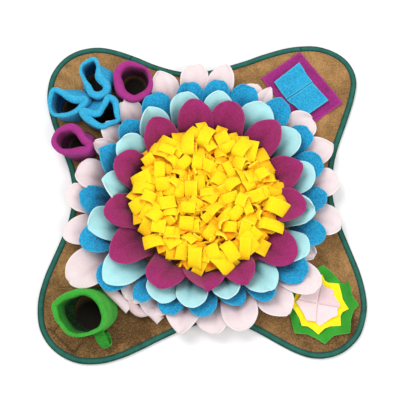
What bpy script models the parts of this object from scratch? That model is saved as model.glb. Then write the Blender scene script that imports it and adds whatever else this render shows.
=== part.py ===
"""Snuffle mat: a bound fleece base with four rounded lobes, a flower of four petal rings round a tuft of strips,
and a toy in each corner: pots, a pair of leaves on a patch, a lily and a mug. Metres, +Z up. The origin is on the
floor under the middle of the mat, -Y is its front edge and directions are in degrees clockwise from +Y."""

import math

import bmesh
import bpy
from mathutils import Vector

for old in list(bpy.data.objects):
    bpy.data.objects.remove(old, do_unlink=True)

# Driving dimensions
GAP = 0.0003                # clear space between pieces that touch
FLEECE = 0.0025             # one layer of fleece
BASE_THICK = 0.0030
TAPE_THICK = 0.0012         # the folded tape that binds the edge
TAPE_WIDTH = 0.0095         # how far the tape reaches in over the base
TAPE_STEP = 0.0040          # run in which the base drops from the tape to the floor

# The bound outline: a round lobe at each corner, and the middle of each hollow side between two lobes.
# x, y, radius, first and last bearing of the round stretch, counterclockwise from +X
LOBES = (
    (0.1810, -0.185, 0.0755, -73, -23),
    (0.1935, 0.2008, 0.063, -12, 62),
    (-0.1795, 0.187, 0.078, 88, 172),
    (-0.1770, -0.1870, 0.0815, 194, 255),
)
# x, y, heading of the edge there
WAISTS = (
    (0.210, 0.018, 90),
    (-0.020, 0.220, 180),
    (-0.210, 0.003, 270),
    (0.028, -0.202, 360),
)
SIDE_PULL = 0.344           # how far each side keeps to its end directions, as a share of its length
LOBE_STEPS = 5
SIDE_STEPS = 5

# Flower
FLOWER = (0.000, -0.007)    # middle of the flower
PETAL_ROWS = (0.0, 0.16, 0.46, 0.80, 1.0)
PETAL_COLUMNS = (-1.0, -0.4, 0.4, 1.0)
PETAL_CUP = 0.10            # how far a petal's sides curl up, as a share of its width
PETAL_TROUGH = 0.05         # depth of the crease from its root, as a share of its width
PETAL_TUCK = 0.004          # every second petal of a ring sits this much further out and lower, under its neighbours

# name, colour, root radius, half of the angle a petal bends through, petals in one piece,
# and its petals: direction, reach and height of the tip, width
RINGS = (
    ("magenta", (0.34, 0.030, 0.14), 0.118, 20, 1, (
        (355, 0.162, 0.052, 0.058),
        (18, 0.165, 0.053, 0.058),
        (44, 0.170, 0.052, 0.058),
        (72, 0.167, 0.054, 0.060),
        (96, 0.165, 0.053, 0.058),
        (126, 0.174, 0.050, 0.062),
        (154, 0.162, 0.052, 0.054),
        (179, 0.158, 0.054, 0.056),
        (205, 0.165, 0.052, 0.058),
        (233, 0.174, 0.050, 0.062),
        (260, 0.163, 0.052, 0.058),
        (293, 0.152, 0.060, 0.060),
        (324, 0.156, 0.057, 0.060),
    )),
    ("aqua", (0.47, 0.84, 0.84), 0.132, 20, 1, (
        (8, 0.180, 0.046, 0.050),
        (31, 0.186, 0.046, 0.056),
        (54, 0.186, 0.045, 0.056),
        (78, 0.183, 0.046, 0.054),
        (99, 0.180, 0.047, 0.050),
        (121, 0.190, 0.045, 0.058),
        (145, 0.188, 0.044, 0.056),
        (166, 0.174, 0.048, 0.048),
        (186, 0.184, 0.045, 0.050),
        (206, 0.184, 0.046, 0.054),
        (230, 0.201, 0.042, 0.062),
        (254, 0.186, 0.045, 0.060),
        (278, 0.170, 0.052, 0.056),
        (303, 0.166, 0.057, 0.056),
        (327, 0.172, 0.048, 0.056),
        (348, 0.178, 0.047, 0.050),
    )),
    ("blue", (0.02, 0.29, 0.60), 0.147, 20, 3, (
        (6, 0.199, 0.038, 0.044),
        (21, 0.205, 0.038, 0.048),
        (38, 0.208, 0.038, 0.050),
        (55, 0.207, 0.037, 0.050),
        (73, 0.201, 0.039, 0.050),
        (91, 0.198, 0.040, 0.048),
        (110, 0.204, 0.038, 0.050),
        (130, 0.207, 0.037, 0.052),
        (148, 0.200, 0.038, 0.044),
        (164, 0.190, 0.040, 0.044),
        (180, 0.194, 0.039, 0.046),
        (196, 0.197, 0.038, 0.048),
        (212, 0.194, 0.038, 0.046),
        (230, 0.216, 0.041, 0.054),
        (249, 0.206, 0.040, 0.052),
        (269, 0.196, 0.039, 0.048),
        (291, 0.178, 0.051, 0.050),
        (314, 0.178, 0.051, 0.050),
        (334, 0.192, 0.040, 0.050),
        (350, 0.196, 0.039, 0.044),
    )),
    ("pink", (0.87, 0.76, 0.79), 0.163, 25, 3, (
        (7, 0.231, 0.028, 0.046),
        (22, 0.219, 0.028, 0.046),
        (35, 0.224, 0.027, 0.044),
        (51, 0.228, 0.027, 0.052),
        (66, 0.231, 0.026, 0.048),
        (82, 0.221, 0.028, 0.050),
        (100, 0.224, 0.027, 0.054),
        (115, 0.208, 0.027, 0.044),
        (131, 0.234, 0.028, 0.056),
        (147, 0.231, 0.028, 0.054),
        (162, 0.223, 0.028, 0.052),
        (176, 0.219, 0.027, 0.048),
        (190, 0.222, 0.028, 0.050),
        (204, 0.215, 0.027, 0.046),
        (220, 0.212, 0.023, 0.046),
        (238, 0.249, 0.026, 0.064),
        (255, 0.229, 0.027, 0.050),
        (270, 0.219, 0.028, 0.050),
        (284, 0.211, 0.030, 0.050),
        (297, 0.193, 0.040, 0.042),
        (309, 0.185, 0.040, 0.040),
        (322, 0.199, 0.034, 0.046),
        (342, 0.231, 0.028, 0.044),
        (354, 0.229, 0.028, 0.040),
    )),
)

# Tuft of strips
TUFT_AT = (0.006, -0.011)   # its middle, a little to the front right of the flower's
TUFT_FOOT = 0.105           # radius of the sewn foot
TUFT_SHOULDER = 0.024       # height of the packed strips at the edge
TUFT_CROWN = 0.034          # and in the middle
STRIP_WIDTH = 0.024
STRIP_THICK = 0.0030
STRIP_SINK = 0.008          # length of a strip end inside the packed strips
# radius of the row, strip ends in it, height of their tips, outward lean in degrees
STRIP_ROWS = (
    (0.013, 3, 0.060, 4),
    (0.036, 9, 0.059, 8),
    (0.059, 14, 0.057, 14),
    (0.081, 19, 0.053, 24),
    (0.099, 23, 0.046, 38),
)
STRIP_TURN = 137.5          # each strip's face is turned this much from the last one's

# Pots: a fleece tube sewn down at its lower edge, its mouth pinched
POT_WALL = 0.006            # two layers and the turned rim
POT_STEPS = 18
POT_HEIGHTS = (0.0, 0.5, 1.0)
# name, colour, foot: x, y, radius, mouth: x, y, height, and the mouth's corners: bearing from +X, distance
POTS = (
    ("blue_pot_back", (0.03, 0.36, 0.65), (-0.174, 0.200, 0.021), (-0.178, 0.196, 0.046), (
        (20, 0.024), (55, 0.018), (90, 0.031), (120, 0.031), (160, 0.025), (200, 0.022),
        (255, 0.029), (290, 0.033), (325, 0.027), (350, 0.019))),
    ("blue_pot_left", (0.03, 0.36, 0.65), (-0.212, 0.155, 0.021), (-0.219, 0.151, 0.046), (
        (10, 0.027), (50, 0.017), (90, 0.019), (135, 0.028), (180, 0.026),
        (220, 0.026), (260, 0.024), (300, 0.023), (340, 0.022))),
    ("blue_pot_front", (0.03, 0.36, 0.65), (-0.164, 0.142, 0.021), (-0.160, 0.134, 0.046), (
        (30, 0.023), (70, 0.026), (105, 0.017), (150, 0.020), (178, 0.028),
        (215, 0.025), (255, 0.023), (290, 0.022), (330, 0.026))),
    ("magenta_pot_back", (0.42, 0.035, 0.26), (-0.115, 0.194, 0.022), (-0.115, 0.191, 0.042), (
        (15, 0.028), (55, 0.029), (95, 0.029), (140, 0.029), (180, 0.026),
        (230, 0.027), (275, 0.030), (320, 0.029))),
    ("magenta_pot_left", (0.42, 0.035, 0.26), (-0.188, 0.092, 0.022), (-0.208, 0.085, 0.042), (
        (0, 0.025), (45, 0.020), (100, 0.024), (150, 0.028), (185, 0.029),
        (225, 0.025), (270, 0.018), (325, 0.027))),
    ("green_mug", (0.08, 0.50, 0.05), (-0.172, -0.190, 0.032), (-0.188, -0.196, 0.052), (
        (0, 0.038), (45, 0.034), (90, 0.033), (135, 0.033), (180, 0.036),
        (225, 0.033), (270, 0.033), (315, 0.036))),
)

# Handle of the mug: a strap out from the wall and back, in the upright plane along its direction
HANDLE_BEARING = -66        # from +X
HANDLE_WIDTH = 0.016
HANDLE_START = 0.0392       # from the middle of the foot
HANDLE_REACH = 0.020
HANDLE_BOTTOM = 0.0046
HANDLE_TOP = 0.034
HANDLE_STEPS = 10

# Patch with two leaves, in the back right corner
PATCH_AT = (0.1640, 0.1810)
PATCH_SIZE = (0.112, 0.086)
PATCH_TURN = -53.0
LEAF_SIZE = (0.039, 0.053)
LEAF_GAP = 0.0010           # between the free edges of the two leaves
LEAF_LIFT = 0.0035          # how far the free edges stand up
LEAF_STEPS = 3

# Lily, in the front right corner
LILY_AT = (0.180, -0.175)
# name, colour, reach of tips and notches, lift of tips, direction of each tip
LILY_LAYERS = (
    ("lily_leaves", (0.03, 0.36, 0.03), 0.064, 0.053, 0.0030, (10, 53, 94, 134, 171, 216, 262, 312)),
    ("lily_yellow", (0.95, 0.80, 0.0), 0.050, 0.041, 0.0030, (6, 46, 101, 135, 180, 222, 270, 318)),
    ("lily_pink", (0.87, 0.76, 0.79), 0.036, 0.030, 0.0025, (11, 50, 96, 130, 174, 213, 276, 325)),
)
LILY_RINGS = (0.55, 1.0)

BASE_TOP = BASE_THICK + GAP
HALF = FLEECE / 2


def fleece(name, colour):
    """A dull, slightly rough cloth of one colour."""
    material = bpy.data.materials.new(name)
    material.use_nodes = True
    shader = material.node_tree.nodes["Principled BSDF"]
    shader.inputs["Base Color"].default_value = (*colour, 1.0)
    shader.inputs["Roughness"].default_value = 0.95
    shader.inputs["Metallic"].default_value = 0.0
    return material


def add_piece(name, points, faces, colour, thickness=0.0):
    """One named object from a list of points and faces. A sheet is given its thickness by Solidify."""
    mesh = bpy.data.meshes.new(name)
    mesh.from_pydata([tuple(p) for p in points], [], faces)
    bm = bmesh.new()
    bm.from_mesh(mesh)
    bmesh.ops.recalc_face_normals(bm, faces=bm.faces)
    bm.to_mesh(mesh)
    bm.free()
    mesh.shade_smooth()
    mesh.set_sharp_from_angle(angle=math.radians(50))
    piece = bpy.data.objects.new(name, mesh)
    bpy.context.collection.objects.link(piece)
    mesh.materials.append(fleece(name, colour))
    if thickness:
        solidify = piece.modifiers.new("cloth", "SOLIDIFY")
        solidify.thickness = thickness
        solidify.offset = 0.0
    return piece


def compass(direction):
    """Unit vector of a direction in degrees clockwise from +Y."""
    angle = math.radians(direction)
    return Vector((math.sin(angle), math.cos(angle), 0.0))


def bearing(degrees):
    """Unit vector of a bearing in degrees counterclockwise from +X."""
    angle = math.radians(degrees)
    return Vector((math.cos(angle), math.sin(angle), 0.0))


# Rails: closed loops of points that all have the same count, joined loop to loop

def join_rails(rails, back_to_first):
    """Points and faces of the surface through closed rails. It closes on itself, or ends in two flat caps."""
    count = len(rails[0])
    points = [p for rail in rails for p in rail]
    pairs = [(i, i + 1) for i in range(len(rails) - 1)]
    faces = []
    if back_to_first:
        pairs.append((len(rails) - 1, 0))
    else:
        faces.append(list(range(count)))
        faces.append(list(range(count * (len(rails) - 1), count * len(rails))))
    for low, high in pairs:
        for i in range(count):
            j = (i + 1) % count
            faces.append((low * count + i, low * count + j, high * count + j, high * count + i))
    return points, faces


def offset_loop(loop, outward, height):
    """A flat counterclockwise loop moved outward by a distance and set at a height."""
    moved = []
    for i, here in enumerate(loop):
        along = (loop[(i + 1) % len(loop)] - loop[i - 1]).normalized()
        moved.append(Vector((here.x + along.y * outward, here.y - along.x * outward, height)))
    return moved


# Base and binding

def bend(start, start_heading, end, end_heading):
    """Points of one side between two places and headings, without its first and last point."""
    pull = SIDE_PULL * (end - start).length
    first = start + bearing(start_heading) * pull
    last = end - bearing(end_heading) * pull
    points = []
    for step in range(1, SIDE_STEPS):
        t = step / SIDE_STEPS
        s = 1 - t
        points.append(start * s ** 3 + first * (3 * s * s * t) + last * (3 * s * t * t) + end * t ** 3)
    return points


def mat_outline():
    """The outer edge of the binding, counterclockwise."""
    loop = []
    for i, (x, y, radius, first, last) in enumerate(LOBES):
        centre = Vector((x, y, 0.0))
        for step in range(LOBE_STEPS + 1):
            loop.append(centre + bearing(first + (last - first) * step / LOBE_STEPS) * radius)
        waist_x, waist_y, heading = WAISTS[i]
        waist = Vector((waist_x, waist_y, 0.0))
        next_x, next_y, next_radius, next_first, _ = LOBES[(i + 1) % len(LOBES)]
        arrive = Vector((next_x, next_y, 0.0)) + bearing(next_first) * next_radius
        loop += bend(loop[-1], last + 90, waist, heading)
        loop.append(waist)
        loop += bend(waist, heading, arrive, next_first + 90)
    return loop


def make_base(outline):
    """A flat sheet that lies on the floor and rises a little at its edge, where the tape passes under it."""
    edge = -(TAPE_THICK + GAP)
    under_tape = TAPE_THICK + GAP
    inner = -(TAPE_WIDTH + 0.001)
    drop = inner - TAPE_STEP
    rails = [
        offset_loop(outline, drop, 0.0),
        offset_loop(outline, inner, under_tape),
        offset_loop(outline, edge, under_tape),
        offset_loop(outline, edge, under_tape + BASE_THICK),
        offset_loop(outline, inner, under_tape + BASE_THICK),
        offset_loop(outline, drop, BASE_THICK),
    ]
    return add_piece("base", *join_rails(rails, back_to_first=False), (0.26, 0.145, 0.058))


def make_binding(outline):
    """A tape folded round the edge: a channel that is open towards the base."""
    edge = -TAPE_THICK
    inner = -TAPE_WIDTH
    lower = TAPE_THICK
    upper = TAPE_THICK + BASE_THICK + 2 * GAP
    top = upper + TAPE_THICK
    rails = [
        offset_loop(outline, inner, 0.0),
        offset_loop(outline, 0.0, 0.0),
        offset_loop(outline, 0.0, top),
        offset_loop(outline, inner, top),
        offset_loop(outline, inner, upper),
        offset_loop(outline, edge, upper),
        offset_loop(outline, edge, lower),
        offset_loop(outline, inner, lower),
    ]
    return add_piece("binding", *join_rails(rails, back_to_first=True), (0.012, 0.15, 0.10))


# Petals

def petal_half_width(width, along):
    """Half of a petal's width at a share of its length: full a little below the middle, rounded to a tip."""
    root_share = 0.74
    widest = 0.42
    tip_share = 0.18
    if along < widest:
        share = root_share + (1 - root_share) * math.sin(math.pi / 2 * along / widest)
    else:
        beyond = (along - widest) / (1 - widest)
        share = max(tip_share, (1 - beyond ** 2.4) ** 0.6)
    return width / 2 * share


def petal_points(root_radius, half_bend, direction, reach, height, width):
    """Rows of points of one petal, from its root on the base to its tip. Its length is an arc that starts steep and
    leans outward, and across it curls up at the sides and is creased in the middle near the root."""
    outward = compass(direction)
    sideways = compass(direction + 90)
    run = reach - root_radius
    turn = math.radians(half_bend)
    root_slope = math.atan2(height - BASE_TOP, run) + turn
    root = Vector((*FLOWER, BASE_TOP + HALF * math.cos(root_slope))) + outward * root_radius
    radius = math.hypot(run, height - root.z) / (2 * math.sin(turn))
    rows = []
    for along in PETAL_ROWS:
        slope = root_slope - 2 * turn * along
        place = root + outward * (radius * (math.sin(root_slope) - math.sin(slope)))
        place.z += radius * (math.cos(slope) - math.cos(root_slope))
        face = Vector((0.0, 0.0, math.cos(slope))) - outward * math.sin(slope)
        half_width = petal_half_width(width, along)
        row = []
        for across in PETAL_COLUMNS:
            cup = PETAL_CUP * 2 * half_width * across * across * min(1.0, 3 * along + 0.4)
            trough = PETAL_TROUGH * width * (1 - abs(across)) * (1 - along)
            point = place + sideways * (half_width * across) + face * (cup - trough)
            point.z = max(point.z, root.z)
            row.append(point)
        rows.append(row)
    return rows


def make_petals(name, colour, petals):
    """One sheet of one or more neighbouring petals, joined by a band at their roots."""
    points = []
    faces = []
    size = len(PETAL_ROWS) * len(PETAL_COLUMNS)
    columns = len(PETAL_COLUMNS)
    for number, rows in enumerate(petals):
        start = number * size
        points += [p for row in rows for p in row]
        for i in range(len(PETAL_ROWS) - 1):
            for j in range(columns - 1):
                corner = start + i * columns + j
                faces.append((corner, corner + 1, corner + columns + 1, corner + columns))
        if number:
            left = start - size + columns - 1
            faces.append((left, start, start + columns, left + columns))
    return add_piece(name, points, faces, colour, FLEECE)


def make_flower():
    """All four rings. A ring's petals are single pieces, or strips of as many as its row says."""
    for name, colour, root_radius, half_bend, in_piece, petals in RINGS:
        shapes = []
        for number, (direction, reach, height, width) in enumerate(petals):
            tuck = PETAL_TUCK * (number % 2)
            shapes.append(petal_points(root_radius + tuck, half_bend, direction, reach, height - tuck, width))
        for number, first in enumerate(range(0, len(shapes), in_piece)):
            make_petals(f"{name}_petals_{number + 1:02d}", colour, shapes[first:first + in_piece])


# Tuft

def make_tuft():
    """The packed strips as one dome, with the ends of the strips standing out of it."""
    steps = 40
    rails = []
    for radius, height in ((TUFT_FOOT, BASE_TOP), (TUFT_FOOT, TUFT_SHOULDER), (TUFT_FOOT * 0.6, TUFT_CROWN)):
        rails.append([Vector((*TUFT_AT, height)) + compass(-360 * i / steps) * radius for i in range(steps)])
    yellow = (0.95, 0.70, 0.005)
    tuft = add_piece("tuft", *join_rails(rails, back_to_first=False), yellow)

    points = []
    faces = []
    number = 0
    for radius, count, tip, lean in STRIP_ROWS:
        for i in range(count):
            outward = compass(360 * (i + 0.5 * (number % 2)) / count)
            number += 1
            uneven = math.sin(number * 2.4)
            slope = math.radians(lean + 6 * uneven)
            up = Vector((0.0, 0.0, math.cos(slope))) + outward * math.sin(slope)
            level = TUFT_SHOULDER + (TUFT_CROWN - TUFT_SHOULDER) * min(1.0, (TUFT_FOOT - radius) / (TUFT_FOOT * 0.4))
            foot = Vector((*TUFT_AT, level)) + outward * radius - up * STRIP_SINK
            length = STRIP_SINK + (tip - level + 0.004 * uneven) / math.cos(slope)
            side = (outward.cross(up)).normalized()
            turn = math.radians(number * STRIP_TURN)
            if lean > 20:
                turn = math.radians(35 * uneven)
            along = (side * math.cos(turn) + side.cross(up) * math.sin(turn)) * (STRIP_WIDTH / 2)
            across = along.cross(up).normalized() * (STRIP_THICK / 2)
            start = len(points)
            for level_up in (0.0, length):
                for sign_along, sign_across in ((-1, -1), (1, -1), (1, 1), (-1, 1)):
                    points.append(foot + up * level_up + along * sign_along + across * sign_across)
            faces += [tuple(start + k for k in face) for face in (
                (0, 3, 2, 1), (4, 5, 6, 7), (0, 1, 5, 4), (1, 2, 6, 5), (2, 3, 7, 6), (3, 0, 4, 7))]
    strips = add_piece("tuft_strip_ends", points, faces, yellow)
    strips.hide_render = True
    strips.display_type = "WIRE"
    union = tuft.modifiers.new("strips", "BOOLEAN")
    union.operation = "UNION"
    union.solver = "EXACT"
    union.use_self = True
    union.object = strips
    return tuft


# Pots and mug

def mouth_reach(corners, degrees):
    """Distance of a mouth's edge in a bearing, eased between its corners."""
    count = len(corners)
    for i in range(count):
        low, near = corners[i]
        high, far = corners[(i + 1) % count]
        span = (high - low) % 360
        into = (degrees - low) % 360
        if into < span:
            ease = 0.5 - 0.5 * math.cos(math.pi * into / span)
            return near + (far - near) * ease
    return corners[0][1]


def make_pot(name, colour, foot, mouth, corners):
    """An open tube from a round foot on the base to its mouth, with its rim turned over."""
    foot_x, foot_y, foot_radius = foot
    mouth_x, mouth_y, mouth_height = mouth
    middle = []
    for share in POT_HEIGHTS:
        height = BASE_TOP + (mouth_height - BASE_TOP) * share
        centre = Vector((foot_x + (mouth_x - foot_x) * share, foot_y + (mouth_y - foot_y) * share, height))
        loop = []
        for i in range(POT_STEPS):
            degrees = 360 * i / POT_STEPS
            mouth_radius = mouth_reach(corners, degrees)
            belly = 1 + 0.10 * math.sin(math.pi * share)
            radius = (foot_radius + (mouth_radius - foot_radius) * share) * belly
            loop.append(centre + bearing(degrees) * radius)
        middle.append(loop)
    outer = [offset_loop(loop, POT_WALL / 2, loop[0].z) for loop in middle]
    inner = [offset_loop(loop, -POT_WALL / 2, loop[0].z) for loop in middle]
    outer[-1] = offset_loop(middle[-1], POT_WALL / 2, mouth_height - POT_WALL / 2)
    inner[-1] = offset_loop(middle[-1], -POT_WALL / 2, mouth_height - POT_WALL / 2)
    rails = outer + [middle[-1]] + inner[::-1]
    return add_piece(name, *join_rails(rails, back_to_first=True), colour)


def make_handle():
    """A fleece strap that leaves the mug's wall near the rim, bends over and comes back near the foot."""
    foot_x, foot_y, _ = POTS[-1][2]
    outward = bearing(HANDLE_BEARING)
    sideways = bearing(HANDLE_BEARING + 90)
    start = Vector((foot_x, foot_y, (HANDLE_BOTTOM + HANDLE_TOP) / 2)) + outward * HANDLE_START
    half_height = (HANDLE_TOP - HANDLE_BOTTOM) / 2
    points = []
    faces = []
    for step in range(HANDLE_STEPS + 1):
        turn = math.pi * (0.5 - step / HANDLE_STEPS)
        place = start + outward * (HANDLE_REACH * math.cos(turn)) + Vector((0, 0, half_height * math.sin(turn)))
        points += [place - sideways * (HANDLE_WIDTH / 2), place + sideways * (HANDLE_WIDTH / 2)]
        if step:
            low = 2 * step - 2
            faces.append((low, low + 1, low + 3, low + 2))
    return add_piece("mug_handle", points, faces, POTS[-1][1], FLEECE)


# Patch and leaves

def make_patch():
    """A flat sheet on the base, and two leaves on it, each sewn down along its outer edge."""
    along = bearing(PATCH_TURN)
    across = bearing(PATCH_TURN + 90)
    middle = Vector((*PATCH_AT, BASE_TOP + HALF))
    half_long = PATCH_SIZE[0] / 2
    half_short = PATCH_SIZE[1] / 2
    corners = [middle + along * (a * half_long) + across * (b * half_short)
               for a, b in ((-1, -1), (1, -1), (1, 1), (-1, 1))]
    add_piece("patch", corners, [(0, 1, 2, 3)], (0.42, 0.035, 0.26), FLEECE)

    level = Vector((0, 0, FLEECE + GAP))
    width, depth = LEAF_SIZE
    for name, sign in (("leaf_back", -1), ("leaf_front", 1)):
        points = []
        faces = []
        for step in range(LEAF_STEPS + 1):
            share = step / LEAF_STEPS
            lift = Vector((0, 0, LEAF_LIFT * share ** 2))
            place = middle + level + lift + along * (sign * (LEAF_GAP / 2 + width * (1 - share)))
            points += [place - across * (depth / 2), place + across * (depth / 2)]
            if step:
                low = 2 * step - 2
                faces.append((low, low + 1, low + 3, low + 2))
        add_piece(name, points, faces, (0.03, 0.36, 0.65), FLEECE)


# Lily

def make_lily():
    """Three star-shaped sheets, one on the other, with hollow edges between their tips."""
    for layer, (name, colour, tip, notch, lift, tips) in enumerate(LILY_LAYERS):
        level = BASE_TOP + HALF + layer * (FLEECE + GAP)
        outline = []
        for i, direction in enumerate(tips):
            gap = (tips[(i + 1) % len(tips)] - direction) % 360
            outline += [(direction, tip), (direction + gap * 0.35, notch), (direction + gap * 0.65, notch)]
        steps = len(outline)
        points = [Vector((*LILY_AT, level))]
        for ring in LILY_RINGS:
            for direction, reach in outline:
                point = Vector((*LILY_AT, level + lift * (reach * ring / tip) ** 2))
                points.append(point + compass(direction) * reach * ring)
        faces = []
        for i in range(steps):
            j = (i + 1) % steps
            faces.append((0, 1 + i, 1 + j))
            for ring in range(len(LILY_RINGS) - 1):
                low = 1 + ring * steps
                faces.append((low + i, low + steps + i, low + steps + j, low + j))
        add_piece(name, points, faces, colour, FLEECE)


edge_line = mat_outline()
make_base(edge_line)
make_binding(edge_line)
make_flower()
make_tuft()
for pot in POTS:
    make_pot(*pot)
make_handle()
make_patch()
make_lily()
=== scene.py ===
"""Looks of the snuffle mat: a bound fleece base with a flower, a tuft of strips and toys sewn to its corners.
Metres, +Z up, but tables of places and sizes are in millimetres. The front edge of the mat faces -Y.
Directions are in degrees clockwise from +Y, and bearings in degrees counterclockwise from +X."""

import math
import random

import bpy
import numpy as np
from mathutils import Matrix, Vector, geometry, noise


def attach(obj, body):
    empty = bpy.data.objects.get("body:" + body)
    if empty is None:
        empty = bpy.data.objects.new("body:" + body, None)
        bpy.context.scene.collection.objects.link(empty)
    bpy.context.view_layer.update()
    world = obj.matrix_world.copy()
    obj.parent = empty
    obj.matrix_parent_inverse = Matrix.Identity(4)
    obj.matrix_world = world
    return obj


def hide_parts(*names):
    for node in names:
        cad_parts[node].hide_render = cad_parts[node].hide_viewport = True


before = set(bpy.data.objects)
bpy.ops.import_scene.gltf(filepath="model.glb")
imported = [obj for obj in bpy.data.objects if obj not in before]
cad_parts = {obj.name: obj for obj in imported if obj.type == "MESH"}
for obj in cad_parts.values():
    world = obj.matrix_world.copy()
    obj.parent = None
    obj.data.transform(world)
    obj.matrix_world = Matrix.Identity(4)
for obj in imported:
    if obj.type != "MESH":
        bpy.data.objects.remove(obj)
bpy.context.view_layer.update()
MM = 0.001

# ---- Base ----
# One sheet of brown fleece with a rounded lobe at each corner. It lies on the floor, rises a little where
# the tape passes under its edge, and has soft wrinkles and a few sewn lines on the front left lobe.

BASE_THICK = 3.0 * MM
EDGE_RISE = 1.5 * MM
BASE_TOP = BASE_THICK + 0.3 * MM
# x, y, radius, first and last bearing of each lobe's round stretch
LOBES = (
    (181, -185, 75.5, -73, -23), (193.5, 200.8, 63, -12, 62), (-179.5, 187, 78, 88, 172),
    (-177, -187, 81.5, 194, 255),
)
# x, y and the edge's bearing at the middle of each hollow side
WAISTS = ((210, 18, 90), (-20, 220, 180), (-210, 3, 270), (28, -202, 360))
SIDE_PULL = 0.344           # how far the edge keeps its way at both ends of a curve


class Socket:
    """One output of a material's nodes. Sums with it add Math nodes, and node() adds any other node."""

    def __init__(self, tree, socket=None):
        self.tree, self.socket = tree, socket

    def node(self, kind, settings, sockets, output=0):
        made = self.tree.nodes.new("ShaderNode" + kind)
        for name, value in settings.items():
            setattr(made, name, value)
        for name, value in sockets.items():
            if isinstance(value, Socket):
                self.tree.links.new(value.socket, made.inputs[name])
            else:
                made.inputs[name].default_value = value
        return Socket(self.tree, made.outputs[output])

    def math(self, operation, first, second):
        return self.node("Math", {"operation": operation}, {0: first, 1: second})

    def __add__(self, other):
        return self.math("ADD", self, other)

    def __sub__(self, other):
        return self.math("SUBTRACT", self, other)

    def __rsub__(self, other):
        return self.math("SUBTRACT", other, self)

    def __mul__(self, other):
        return self.math("MULTIPLY", self, other)

    __radd__ = __add__


def dye(colour):
    """A colour of cloth as the eye names it, 0 to 255, in the renderer's linear values."""
    return tuple(((c / 255 + 0.055) / 1.055) ** 2.4 if c > 10 else c / 255 / 12.92 for c in colour) + (1.0,)


def mix(nodes, share, first, second):
    """One colour turning into another."""
    return nodes.node("Mix", {"data_type": "RGBA"}, {0: share, 6: first, 7: second}, 2)


def painted(nodes, name):
    """A value painted on the mesh, from 0 to 1."""
    return nodes.node("Attribute", {"attribute_name": name}, {}, 2)


def fleece(name, face, shade, edge, pebble, mottle, pile, sheen):
    """Fleece cloth: its lit face, the colour of the painted shade it turns to in folds, near roots and other
    shaded places, and its paler cut edge, whose colour is also laid on as painted light. pebble, mottle and
    pile say how much it is pebbled, clouded and matted."""
    face, shade, edge = dye(face), dye(shade), dye(edge)
    material = bpy.data.materials.new(name)
    material.use_nodes = True
    nodes = Socket(material.node_tree)
    place = nodes.node("TexCoord", {}, {}, 3)
    matted, pebbles, clouds = (
        nodes.node("TexNoise", {}, {"Vector": place, "Scale": scale, "Detail": detail, "Roughness": rough})
        for scale, detail, rough in ((900.0, 3.0, 0.7), (400.0, 2.0, 0.6), (45.0, 3.0, 0.6)))
    spots = nodes.node("ValToRGB", {}, {"Fac": pebbles})
    for stop, stop_place in zip(spots.socket.node.color_ramp.elements, (0.38, 0.62)):
        stop.position = stop_place
    # painted shade: the painted value darkens the face towards the shade colour; cloudy and pebbled tone lies
    # on top
    painted_shade_and_texture = painted(nodes, "deep") * 0.8 + 0.2 + (clouds - 0.5) * mottle + (0.5 - spots) * (0.30 * pebble)
    painted_shade_and_texture = nodes.node("Clamp", {}, {"Value": painted_shade_and_texture + (0.5 - matted) * (0.5 * pile)})
    brightest = tuple(min(f + (f - s) * 0.25, 1.0) for f, s in zip(face, shade))
    colour = mix(nodes, painted_shade_and_texture, brightest, shade)
    # the cut-edge value mixes in the third colour: pale cut edges, and painted light where it is set for that
    colour = mix(nodes, painted(nodes, "cut_edge_and_painted_light") * 0.85, colour, edge)
    rough = 0.86 + (matted - 0.5) * 0.2
    height = matted * (0.35 * pile) + spots * (0.30 * pebble) + pebbles * 0.2
    normal = nodes.node("Bump", {}, {"Strength": 0.75, "Distance": 0.9 * MM, "Height": height})
    shader = material.node_tree.nodes["Principled BSDF"]
    for socket, value in (("Base Color", colour), ("Roughness", rough), ("Normal", normal)):
        material.node_tree.links.new(value.socket, shader.inputs[socket])
    for socket, value in (("Specular IOR Level", 0.2), ("Sheen Weight", sheen), ("Sheen Roughness", 0.5)):
        shader.inputs[socket].default_value = value
    return material


def add_piece(name, points, faces, material, nodes, deep, cut_edge_and_painted_light):
    """A mesh piece that rides on the mat and stands for its CAD nodes. Each point carries its painted shade
    and tone, and its cut-edge value, which also carries painted highlights and painted shade."""
    mesh = bpy.data.meshes.new(name)
    mesh.from_pydata(np.asarray(points).tolist(), [], faces)
    for value_name, value in (("deep", np.clip(deep, 0, 1)), ("cut_edge_and_painted_light", cut_edge_and_painted_light)):
        layer = mesh.attributes.new(value_name, "FLOAT", "POINT")
        layer.data.foreach_set("value", np.asarray(value, dtype=np.float32))
    mesh.shade_smooth()
    mesh.materials.append(material)
    piece = bpy.data.objects.new(name, mesh)
    bpy.context.scene.collection.objects.link(piece)
    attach(piece, "root")
    if nodes:
        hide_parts(*nodes)
    return piece


def bearing(degrees):
    """Unit vector of a bearing."""
    return np.array((math.cos(math.radians(degrees)), math.sin(math.radians(degrees))))


def evenly(points, count):
    """Points evenly along a closed flat line, and the line's length."""
    closed = np.vstack((points, points[:1]))
    run = np.concatenate(([0], np.cumsum(np.linalg.norm(np.diff(closed, axis=0), axis=1))))
    places = np.linspace(0, run[-1], count, endpoint=False)
    return np.stack([np.interp(places, run, closed[:, k]) for k in (0, 1)], 1), run[-1]


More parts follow.
